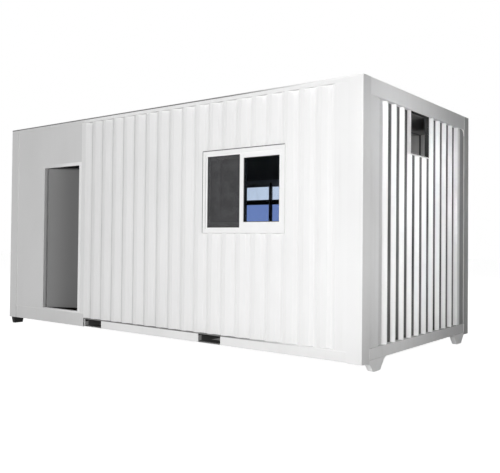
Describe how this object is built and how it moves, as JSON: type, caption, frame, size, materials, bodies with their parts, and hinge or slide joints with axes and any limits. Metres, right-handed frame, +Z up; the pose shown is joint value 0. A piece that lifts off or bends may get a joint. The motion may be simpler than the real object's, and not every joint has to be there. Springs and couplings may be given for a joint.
{
  "type": "prefabricated site office",
  "caption": "Container-type site office: a corrugated white steel cabin on four feet, with fork pockets, a hinged door, two sliding windows and an opening for an air conditioner.",
  "frame": {"origin": "ground level, in the middle of the footprint", "axes": "+X along the cabin towards the end with the air-conditioner opening, -Y out of the front with the door and the window, +Z up"},
  "size_m": [6.058, 2.95, 2.96],
  "materials": {
    "wall_paint": "satin white paint, lightly weathered",
    "frame_paint": "satin white paint, lightly weathered",
    "roof_paint": "satin white paint, dusty",
    "underframe_paint": "dark undercoat",
    "lining": "matt light grey board",
    "floor": "worn floor boards",
    "door_paint": "matt grey paint",
    "hinge_steel": "zinc-plated",
    "handle_metal": "satin",
    "window_paint": "gloss white powder coat",
    "glass": "clear float glass, faintly tinted",
    "mesh": "dark woven screen"
  },
  "bodies": {
    "cabin": {"bottom_rail_front": "frame_paint", "bottom_rail_back": "frame_paint", "end_sills": "frame_paint", "top_rails": "frame_paint", "end_headers": "frame_paint", "corner_post_front_left": "frame_paint", "corner_post_front_right": "frame_paint", "corner_post_back_left": "frame_paint", "corner_post_back_right": "frame_paint", "corner_feet": "frame_paint", "floor_joists": "underframe_paint", "fork_pocket_plates": "underframe_paint", "floor_deck": "floor", "door_kick_plate": "frame_paint", "front_wall_left_of_door": "wall_paint", "front_wall_over_door": "wall_paint", "front_wall_middle": "wall_paint", "front_wall_under_window": "wall_paint", "front_wall_over_window": "wall_paint", "front_wall_right": "wall_paint", "back_wall": "wall_paint", "left_end_wall": "wall_paint", "right_end_wall_front": "wall_paint", "right_end_wall_back": "wall_paint", "right_end_wall_under_vent": "wall_paint", "right_end_wall_over_vent": "wall_paint", "vent_sleeve_frame": "wall_paint", "roof_sheet": "roof_paint", "front_lining": "lining", "back_lining": "lining", "left_lining": "lining", "right_lining": "lining", "ceiling_lining": "lining", "door_frame": "frame_paint", "door_hinge_pins": "hinge_steel", "window_frames": "window_paint", "window_sashes": "window_paint", "window_panes": "glass", "window_screen_frame": "window_paint", "window_screen_mesh": "mesh"},
    "door": {"door_leaf": "door_paint", "door_hinge_leaves": "hinge_steel", "door_handle": "handle_metal"}
  },
  "joints": [
    {"name": "door_hinge", "type": "hinge", "parent": "cabin", "child": "door", "pos_m": [-2.1915, -1.371, 1.318], "axis": [0, 0, 1], "range_deg": [-28, 62]}
  ]
}
